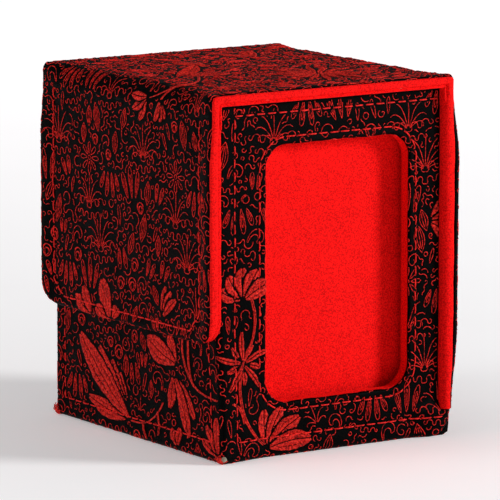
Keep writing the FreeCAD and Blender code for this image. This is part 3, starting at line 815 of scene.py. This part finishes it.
class Needlework:
    """Floss lines on one panel; it remembers where thread lies already."""

    def __init__(self, left, right, low, high, allowed):
        self.left, self.low = left - 3, low - 3
        self.taken = np.zeros((int((high - low + 6) / CELL), int((right - left + 6) / CELL)), bool)
        self.taken_by_leaves = self.taken.copy()
        self.allowed = allowed
        self.span = (left, right, low, high)
        self.lines = []
        self.leaves = []

    def cells(self, points):
        column = ((points.real - self.left) / CELL).astype(int)
        row = ((points.imag - self.low) / CELL).astype(int)
        good = (column >= 0) & (row >= 0) & (column < self.taken.shape[1]) & (row < self.taken.shape[0])
        return row[good], column[good]

    def mark(self, lines, gap, taken=None):
        """Keeps a gap free round these lines."""
        taken = self.taken if taken is None else taken
        reach = int(gap / CELL + 0.5)
        for line in lines:
            dense = np.concatenate([np.linspace(a, b, 3) for a, b in zip(line, line[1:])])
            row, column = self.cells(dense)
            for dr in range(-reach, reach + 1):
                for dc in range(-reach, reach + 1):
                    if dr * dr + dc * dc <= (gap / CELL) ** 2:
                        taken[np.clip(row + dr, 0, taken.shape[0] - 1),
                              np.clip(column + dc, 0, taken.shape[1] - 1)] = True

    def crowding(self, lines):
        """The share of a motif that would lie on other thread."""
        row, column = self.cells(np.concatenate(lines))
        return self.taken[row, column].mean() if len(row) else 1.0

    def keep_parts(self, line, free=True):
        """Splits a line where it leaves the cloth or goes under another leaf."""
        good = self.allowed(line.real, line.imag) & free
        start = None
        for k, fine in enumerate(list(good) + [False]):
            if fine and start is None:
                start = k
            if not fine and start is not None:
                if k - start > 1:
                    yield line[start:k]
                start = None

    def sew(self, lines, gap):
        self.mark(lines, gap)
        for line in lines:
            self.lines += list(self.keep_parts(line))

    def leaf(self, base, tip, width, bend=0.0, ribs=5):
        """A satin-stitch leaf: strands from its midrib to its edge, with gaps for its veins."""
        span = tip - base
        side = 1j * span / abs(span)
        count = max(int(abs(span) / 0.34), 8)
        strands = []
        for way in (1, -1):
            for k in range(count):
                t = (k + 0.5) / count
                root = base + span * t + side * bend * abs(span) * math.sin(math.pi * t)
                wide = width / 2 * math.sin(math.pi * min(t * 0.9 + 0.05, 1)) ** 0.85
                tooth = 1 + 0.03 * math.sin(11.5 * math.pi * t)
                end = root + way * side * wide * tooth + span / abs(span) * wide * 0.45
                root = root + way * side * 0.2
                stops = [0, 1]
                if wide > 1.5 and k % ribs:
                    stops = [0, 0.46, 0.58, 1]
                for first, last in zip(stops[::2], stops[1::2]):
                    strands.append(root + (end - root) * np.linspace(first, last, 5))
        for strand in strands:
            row, column = self.cells(strand)
            if len(row) == len(strand):
                free = ~self.taken_by_leaves[row, column]
                self.leaves += list(self.keep_parts(strand, free))
        for gap, taken in ((0.7, self.taken_by_leaves), (0.9, self.taken)):
            self.mark(strands, gap, taken)

    def stem(self, start, bend, end, strands=2):
        """A thick stem of parallel strands, curved towards one point."""
        t = np.linspace(0, 1, 24)
        path = (1 - t) ** 2 * start + 2 * t * (1 - t) * bend + t ** 2 * end
        for k in range(strands):
            self.leaves += list(self.keep_parts(path + (k - (strands - 1) / 2) * 0.5 * (1 + 0.3j)))
        self.mark([path], 1.2)

    def plant(self, sprigs, stems):
        """Sews sprigs, whose leaves fan out from a foot and change size one by one, and stems."""
        for foot, heading, turn, count, length, width, shrink in sprigs:
            for k in range(count):
                way = np.exp(1j * math.radians(heading + turn * k))
                share = shrink ** k
                self.leaf(foot + way, foot + way * length * share, width * share, 0.04)
        for start, bend, end in stems:
            self.stem(start, bend, end)

    def fill(self, motifs, tries, gap, upright, crowd=0.0, size=(0.85, 1.15)):
        """Scatters motifs wherever they still fit."""
        left, right, low, high = self.span
        picks = chance.integers(len(motifs), size=tries)
        us = chance.uniform(left - 1, right + 1, tries)
        vs = chance.uniform(low - 1, high + 1, tries)
        spins = chance.uniform(-upright, upright, tries)
        sizes = chance.uniform(*size, tries)
        flips = chance.random(tries) < 0.5
        for pick, u, v, spin, scale, flip in zip(picks, us, vs, spins, sizes, flips):
            row, column = self.cells(np.array([complex(u, v)]))
            if not len(row) or self.taken[row[0], column[0]]:
                continue
            motif = motifs[pick]
            lines = turned(mirrored(motif) if flip else motif, spin, complex(u, v), scale)
            if self.crowding(lines) <= crowd:
                self.sew(lines, gap)


def wander(work, seeds, gap):
    """Sends curling lines through the free cloth: chains of arcs that turn about each other."""
    left, right, low, high = work.span
    for _ in range(seeds):
        at = complex(chance.uniform(left, right), chance.uniform(low, high))
        heading = chance.uniform(0, 2 * np.pi)
        way = chance.choice((-1, 1))
        bows = []
        for _ in range(9):
            for _ in range(6):
                radius = 0.45 + 1.6 * chance.random() ** 1.6
                sweep = chance.uniform(0.9, 4.3)
                side = -way if chance.random() < 0.6 else way
                steps = int(radius * sweep / 0.42) + 3
                turn = side * sweep / steps
                arc = at + np.cumsum(np.exp(1j * (heading + turn * (np.arange(steps) + 0.5)))
                                     * radius * sweep / steps)
                row, column = work.cells(arc)
                if len(row) == len(arc) and not work.taken[row, column].any():
                    break
            else:
                break
            if bows:
                work.mark([bows[-1]], gap)
            bows.append(np.concatenate([[at], arc]))
            at, heading, way = arc[-1], heading + side * sweep, side
        if len(bows) > 1:
            work.sew([np.concatenate([bows[0]] + [bow[1:] for bow in bows[1:]])], gap)


def fingers(count, length, width):
    """Long narrow loops side by side, like a hanging tassel."""
    lines = []
    for k in range(count):
        side = k - (count - 1) / 2
        long = length * (1 - 0.13 * side * side)
        lines += turned(petal(long, width) + turned(petal(long * 0.55, width * 0.4), 0, 0.2j * long),
                        -side * 15, side * width * 0.95)
    return lines


def garland(width):
    """Cloud-like arcs that hang to both sides of an axis and end in curls."""
    lines = []
    at, heading = 0j, -0.4
    for radius, sweep in ((0.9, 2.4), (1.1, -3.6), (0.8, 3.4), (1.3, -3.2), (0.7, 4.4)):
        radius = radius * width / 7
        steps = 8
        arc = at + np.cumsum(np.exp(1j * (heading + sweep * (np.arange(steps) + 0.5) / steps))
                             * radius * abs(sweep) / steps)
        lines.append(np.concatenate([[at], arc]))
        at, heading = arc[-1], heading + sweep
    half = [np.concatenate([lines[0]] + [line[1:] for line in lines[1:]])]
    return half + mirrored(half)


def spray(count, length, spread):
    """Curled threads that rise out of a garland."""
    return spikes(count, length, spread) + turned(garland(length * 0.8), 0, -0.6j) \
        + turned(garland(length * 0.6), 0, -0.3j * length - 1.4j)


LARGE = [spray(7, 8.5, 52), spray(5, 8.0, 40), fingers(4, 7.5, 2.0), fingers(3, 9.0, 2.2), daisy(8, 4.6),
         tulip(12), plume(10.0), spray(9, 9.0, 66), bud(8.5, 3.4, 3), fingers(2, 6.5, 2.2),
         turned(bud(9.5, 3.6, 4), -14, -1.4) + turned(bud(8.0, 3.0, 3), 16, 1.6), heart(6.0)]
MEDIUM = [fingers(2, 5.0, 1.8), bud(6.2, 2.6, 2), spikes(5, 4.6, 55), garland(6.0), garland(4.5),
          outlined(curl(8, 90, 1.4, 14), 1.3, 2.0), petal(5.2, 1.5), heart(4.2)]
PITCH = (46.0, 58.0)    # the brocade's repeat
LATTICE = [(4, 3, 0, 0), (27, 32, 0, 0), (15, 14, 2, 180), (38, 43, 2, 180), (38, 7, 1, 4),
           (15, 36, 1, -4), (27, 8, 3, 0), (4, 37, 3, 8), (21, 24, 6, 14), (44, 53, 6, -14),
           (9, 25, 8, -12), (32, 54, 8, 12), (33, 20, 7, 0), (10, 49, 7, 0), (44, 22, 9, 190),
           (20, 51, 9, 170), (27, 46, 4, 0), (3, 16, 10, 0), (26, 18, 11, 5), (42, 32, 10, -5),
           (20, 3, 5, 4), (43, 36, 5, -4)]


def brocade(work):
    """Fills a panel: the woven repeat first, then smaller figures and curling lines between."""
    left, right, low, high = work.span
    for column in range(int(left // PITCH[0]) - 1, int(right // PITCH[0]) + 2):
        for row in range(int(low // PITCH[1]) - 1, int(high // PITCH[1]) + 2):
            for u, v, pick, angle in LATTICE:
                at = complex((column * PITCH[0] + u), row * PITCH[1] + v)
                lines = turned(LARGE[pick], angle, at)
                if work.crowding(lines) < 0.08:
                    work.sew(lines, 0.8)
    area = (right - left) * (high - low)
    work.fill(MEDIUM, int(area * 0.12), 0.8, 25)
    wander(work, int(area * 0.9), 0.72)


def tubes(lines, radius, height, uneven=0.12):
    """A flat mesh of threads along these lines, height mm above the cloth."""
    curve = bpy.data.curves.new("threads", "CURVE")
    curve.dimensions = "3D"
    curve.bevel_depth = radius
    curve.bevel_resolution = 0
    curve.use_fill_caps = True
    for line in lines:
        spline = curve.splines.new("POLY")
        spline.points.add(len(line) - 1)
        rise = height if np.isscalar(height) else height(np.linspace(0, 1, len(line)))
        row = np.stack([line.real, line.imag, np.broadcast_to(rise, line.shape), np.ones(len(line))], 1)
        spline.points.foreach_set("co", row.astype(np.float32).ravel())
        thick = 1 + uneven * chance.standard_normal(len(line))
        spline.points.foreach_set("radius", np.clip(thick, 0.6, 1.4).astype(np.float32))
    holder = bpy.data.objects.new("threads", curve)
    mesh = bpy.data.meshes.new_from_object(holder)
    bpy.data.objects.remove(holder)
    bpy.data.curves.remove(curve)
    return mesh


def cut_between(mesh, low, high):
    """The part of flat thread work between two levels."""
    bm = bmesh.new()
    bm.from_mesh(mesh)
    for at, side in ((low, -1), (high, 1)):
        trim(bm, 1, at, side)
    part = bpy.data.meshes.new("part")
    bm.to_mesh(part)
    bm.free()
    return part


def padded_rise(t):
    """Satin stitches lie over padding: low at the ends and high between."""
    return -0.04 + 0.17 * np.sin(np.pi * t)


def embroider_strip():
    """The cover strip's brocade, over flap, lid and hinge wall in one run."""
    reach = HALF + STRIP_RIM * (QUARTER - 1) - 0.2

    def allowed(u, v):
        on_cloth = (abs(u) < reach) & (flap_cloth.outline.inside(u, v)[0] > -0.5) & (v < STRIP_END - 1)
        return on_cloth & ((v < BAND_END - 0.3) | (abs(u) < BOARD_EDGE - 1.9))

    work = Needlework(-reach, reach, 0, STRIP_END, allowed)
    work.plant(STRIP_SPRIGS, STRIP_STEMS)
    brocade(work)
    lines = tubes(work.lines, LINE, LINE_HEIGHT)
    leaves = tubes(work.leaves, STRAND, padded_rise, 0.08)
    for name, body, start, end, _, _ in STRETCHES:
        cloth = flap_cloth if name == "flap" else strip_cloth
        piece(f"{name}_pattern", cut_between(lines, start, end), cloth.place, floss, body,
              180)
        part = cut_between(leaves, start, end)
        if len(part.vertices):
            piece(f"{name}_leaves", part, cloth.place, leaf_floss, body, 180)


# The sprigs of each panel: foot, heading of the first leaf, turn from leaf to leaf, how many leaves,
# length and width of the first, and each leaf's size beside the one before. The stems: start, the
# point that they bend towards, and end. On the flap and lid v runs up from the hem.
LID_MIDDLE = (LID_START + LID_END) / 2
STAR = complex(22, LID_MIDDLE + 9)
STRIP_SPRIGS = [(-18 + 0j, 120, 33, 2, 9, 4, 1.1), (-8 + 0j, 110, 50, 2, 12, 6, 0.7),
                (-7 + 0j, 55, 0, 1, 5, 3.5, 1), (20 + 5j, 40, 20, 3, 9, 2.5, 1),
                (12 + 67j, 180, 30, 3, 8, 2.5, 1), (19 + 67j, 245, 25, 3, 7, 2, 0.9),
                (complex(-13, LID_MIDDLE - 10), -45, 0, 1, 24, 5, 1),
                (complex(-8, LID_MIDDLE - 8), 195, 0, 1, 14, 6, 1),
                (complex(10, LID_MIDDLE - 12), 230, 25, 2, 20, 4, 0.7),
                (complex(-20, LID_MIDDLE + 15), 160, 50, 2, 12, 5, 0.9),
                (STAR, 0, 45, 8, 12, 1.5, 1), (STAR, 22.5, 45, 8, 16, 1.5, 1)]
STRIP_STEMS = [(13 + 67j, 34 + 74j, 8 + 88j), (19 + 67j, 21 + 72j, 27 + 76j)]

# A lily low on the wall, a flower with hanging leaves beside it, and small tufts at the foot
LEFT_SPRIGS = [(-4 + 5j, 140, -10, 4, 33, 7.5, 0.75), (-5 + 5j, 170, 0, 1, 20, 5, 1),
               (20 + 22j, -70, 20, 2, 18, 4, 0.8), (19 + 22j, -100, 0, 1, 10, 3.5, 1),
               (21 + 25j, 160, -45, 2, 16, 7, 0.55), (41 + 2j, 95, 30, 3, 11, 3, 0.9),
               (21 + 1j, 80, 40, 2, 6, 2.5, 1)]
LEFT_STEMS = [(24 + 33j, 24 + 18j, 41 + 18j), (27 + 33j, 27 + 22j, 30 + 20j),
              (-3 + 5j, 8 + 4j, 14 + 13j), (3 + 5j, 4 + 3j, 5 + 1j), (11 + 10j, 12 + 6j, 11 + 3j)]

# A branch in the middle of the strip beside the window: flower, spray and a flower at its foot
BRANCH = (front_low[0] + window.left) / 2
SPRAY = complex(BRANCH, 28)
FRONT_SPRIGS = [(complex(BRANCH, 46), 25, 33, 5, 10, 5, 0.95),
                (complex(window.left, 3), 5, 30, 4, 15, 5.5, 0.9),
                (complex(window.right + 7, 63), -35, 35, 3, 9, 5, 1),
                (SPRAY, 20, 72, 5, 9, 1.6, 1), (SPRAY, 56, 72, 5, 6, 1.6, 1)]
FRONT_STEMS = [(SPRAY, complex(BRANCH + 6, 37), complex(BRANCH + 3, 46)),
               (SPRAY, complex(BRANCH - 5, 14), complex(window.left - 1, 4)),
               (complex(BRANCH - 4, 17), complex(BRANCH - 1, 16), complex(BRANCH, 11))]


def embroider_walls():
    """The brocade of the walls and the underside."""
    past = WALL_RIM * (QUARTER - 1) - 0.25
    top = front_high[2] - 0.3
    inner = extent("front_wall_lining")[1][0]

    def on_front(u, v):
        on_cloth = (front_cloth.outline.inside(u, v)[0] > -past) & (v < top)
        return on_cloth & (window.inside(u, v)[0] < 0.3) & ((u < inner - 0.2) | (v < STRIP_FOOT - 0.3))

    def on_back(u, v):
        on_cloth = (back_cloth.outline.inside(u, v)[0] > -past) & (v < top)
        return on_cloth & ((-u < inner - 0.2) | (v < STRIP_FOOT - 0.3))

    def on_left(u, v):
        return (v > -past) & (v < top) & (abs(u) < left_high[1] - 0.6)

    def on_floor(u, v):
        return (u > front_low[0] + 2) & (u < floor_high[0] - 1) & (abs(v) < left_high[1] - 1.2)

    panels = [("front_wall", front_cloth, on_front, (front_low[0] - past, WALL_X + past), (-past, top),
               FRONT_SPRIGS, FRONT_STEMS),
              ("left_wall", left_cloth, on_left, (left_low[1], left_high[1]), (-past, top),
               LEFT_SPRIGS, LEFT_STEMS),
              ("back_wall", back_cloth, on_back, (-WALL_X - past, -back_low[0] + past), (-past, top),
               [], []),
              ("bottom", floor_cloth, on_floor, (front_low[0], floor_high[0]),
               (left_low[1], left_high[1]), [], [])]
    for name, cloth, allowed, across, along, sprigs, stems in panels:
        work = Needlework(*across, *along, allowed)
        work.plant(sprigs, stems)
        brocade(work)
        piece(f"{name}_pattern", tubes(work.lines, LINE, LINE_HEIGHT), cloth.place, floss, "box",
              180)
        if work.leaves:
            piece(f"{name}_leaves", tubes(work.leaves, STRAND, padded_rise, 0.08), cloth.place,
                  leaf_floss, "box", 180)


embroider_strip()
embroider_walls()


def worn_corners():
    """Red threads that have pulled loose at the foot's two free corners, and a spot of bare board."""
    for name, cloth, corner, count in (("front_corner", front_cloth, -38.6 + 0.4j, 90),
                                       ("back_corner", left_cloth, -42.0 + 0.7j, 45)):
        lines = []
        for _ in range(count):
            start = corner + complex(chance.normal(0, 0.7), abs(chance.normal(0, 0.8)))
            lines += turned(curl(chance.uniform(0.6, 1.7), chance.uniform(0, 360),
                                 chance.uniform(-0.9, 0.9), 6), 0, start)
        piece(f"{name}_loose_thread", tubes(lines, 0.13, lambda t: 0.1 + 0.3 * np.sin(np.pi * t), 0.2),
              cloth.place, leaf_floss, "box", 180)
    bm = bmesh.new()
    bmesh.ops.create_icosphere(bm, subdivisions=3, radius=0.9)
    bmesh.ops.scale(bm, vec=(0.9, 1.0, 0.6), verts=bm.verts)
    bmesh.ops.translate(bm, vec=(-36.9, 1.5, 0), verts=bm.verts)
    piece("front_corner_bare_board", bm, front_cloth.place, board, "box", 180)


worn_corners()


# ------------------------------------------------------------ seams

def stitches(path, pitch=3.7, length=3.3):
    """Splits a seam's path into stitches of even length."""
    path = np.array(path)
    run = np.concatenate([[0], np.cumsum(abs(np.diff(path)))])
    made = []
    for k in range(int(run[-1] / pitch)):
        at = (k + 0.5) * pitch + np.linspace(-length / 2, length / 2, 6)
        made.append(np.interp(at, run, path.real) + 1j * np.interp(at, run, path.imag))
    return made


def stitch_rise(t):
    """A stitch dives into the cloth at both ends."""
    return -0.25 + 0.55 * np.clip(np.sin(np.pi * t) * 1.6, 0, 1)


def loop_path(outline, grow=0.0):
    points = [complex(u, v) for u, v in outline.loop(grow)]
    return points + points[:1]


def sew_seams():
    """Every visible seam, in red thread."""
    far_edge = extent("front_wall_lining")[1][0] + 1.5
    front_path = [complex(far_edge - 1.7, front_seam.high), complex(front_seam.left, front_seam.high),
                  complex(front_seam.left, front_seam.low), complex(far_edge, front_seam.low)]
    back_path = [-point.conjugate() for point in front_path]
    left_path = [complex(left_seam.left, front_high[2]), complex(left_seam.left, left_seam.low),
                 complex(left_seam.right, left_seam.low), complex(left_seam.right, front_high[2])]
    cut = 5.0
    flap_path = [complex(flap_seam.left, FLAP_END), complex(flap_seam.left, flap_seam.low + cut),
                 complex(flap_seam.left + cut, flap_seam.low),
                 complex(flap_seam.right - cut, flap_seam.low),
                 complex(flap_seam.right, flap_seam.low + cut), complex(flap_seam.right, FLAP_END)]
    seams = [("front_edge", front_path, front_cloth, "box"),
             ("window", loop_path(window_seam), front_cloth, "box"),
             ("back_edge", back_path, back_cloth, "box"),
             ("left_wall", left_path, left_cloth, "box"),
             ("flap", flap_path, flap_cloth, "flap")]
    for name, path, cloth, body in seams:
        mesh = tubes(stitches(path), SEWING_THREAD, stitch_rise, 0.05)
        made = piece(f"{name}_thread", mesh, cloth.place, thread, body, 180)
        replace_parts(made, f"{name}_stitches")


sew_seams()


# ------------------------------------------------------------ stage, light and camera

def studio():
    """A wide pale table whose paper glows as painted light, more and more away from the box."""
    bm = bmesh.new()
    reach = 3.0
    edge = [bm.verts.new((-reach, -reach, 0)), bm.verts.new((reach, -reach, 0))]
    bm.edges.new(edge)
    made = bmesh.ops.extrude_edge_only(bm, edges=bm.edges[:])
    verts = [g for g in made["geom"] if isinstance(g, bmesh.types.BMVert)]
    bmesh.ops.translate(bm, vec=(0, 2 * reach, 0), verts=verts)
    mesh = bpy.data.meshes.new("studio_floor")
    bm.to_mesh(mesh)
    bm.free()
    material, shader = start_material("studio_paper")
    dust = grain(material, millimetres(material), 40.0)
    link(material, shades(material, dust, [(0.0, "#f4f3f4"), (1.0, "#faf9fa")]),
         shader.inputs["Base Color"])
    shader.inputs["Roughness"].default_value = 0.75
    # painted light: the paper itself glows, faintly near the box and more brightly far from it
    away = add(material, "ShaderNodeVectorMath", {0: millimetres(material)}, operation="LENGTH")
    painted_glow = add(material, "ShaderNodeMapRange", {"Value": away.outputs["Value"], "From Min": 60.0,
                                                "From Max": 900.0, "To Min": 0.24, "To Max": 0.72})
    link(material, painted_glow.outputs["Result"], shader.inputs["Emission Strength"])
    shader.inputs["Emission Color"].default_value = colour("#fffdfe")
    mesh.materials.append(material)
    floor = bpy.data.objects.new("studio_floor", mesh)
    bpy.context.scene.collection.objects.link(floor)


def lamp(name, place, aim, size, power, tint="#ffffff"):
    light = bpy.data.lights.new(name, "AREA")
    light.shape = "DISK"
    light.size = size
    light.energy = power
    light.color = colour(tint)[:3]
    holder = bpy.data.objects.new(name, light)
    holder.location = place
    holder.rotation_euler = (Vector(aim) - Vector(place)).to_track_quat("-Z", "Y").to_euler()
    bpy.context.scene.collection.objects.link(holder)


def camera():
    """The view: a long lens a metre and a half away, a little above the lid."""
    azimuth, elevation, distance = math.radians(-33.46), math.radians(9.36), 1.42
    back = Vector((math.sin(azimuth) * math.cos(elevation), -math.cos(azimuth) * math.cos(elevation),
                   math.sin(elevation)))
    right = back.cross(Vector((0, 0, -1))).normalized()
    up = back.cross(right)
    aim = Vector((0, 0, LID_Z * MM / 2)) + right * 0.00113 - up * 0.00073
    data = bpy.data.cameras.new("camera")
    data.lens = 352.1
    data.sensor_width = 36.0
    data.clip_start = 0.1
    data.clip_end = 20.0
    holder = bpy.data.objects.new("camera", data)
    holder.location = aim + back * distance
    holder.rotation_euler = (-back).to_track_quat("-Z", "Y").to_euler()
    bpy.context.scene.collection.objects.link(holder)
    bpy.context.scene.camera = holder


def daylight():
    """An even white surround, dimmer as a light than as a backdrop."""
    world = bpy.data.worlds.new("surround")
    world.use_nodes = True
    nodes, links = world.node_tree.nodes, world.node_tree.links
    ray = nodes.new("ShaderNodeLightPath")
    strength = nodes.new("ShaderNodeMapRange")
    strength.inputs["To Min"].default_value = 0.16
    strength.inputs["To Max"].default_value = 1.0
    links.new(ray.outputs["Is Camera Ray"], strength.inputs["Value"])
    links.new(strength.outputs["Result"], nodes["Background"].inputs["Strength"])
    nodes["Background"].inputs["Color"].default_value = colour("#ffffff")
    bpy.context.scene.world = world


studio()
daylight()
camera()
middle = (0, 0, LID_Z * MM / 2)
lamp("key", (1.06, -0.93, 0.52), middle, 0.42, 19.5)
lamp("top", (-0.3, 0.2, 1.4), middle, 0.9, 3.0)
lamp("left_fill", (-1.4, 0.3, 0.45), middle, 0.8, 6.5)
bpy.context.scene.view_settings.view_transform = "Standard"
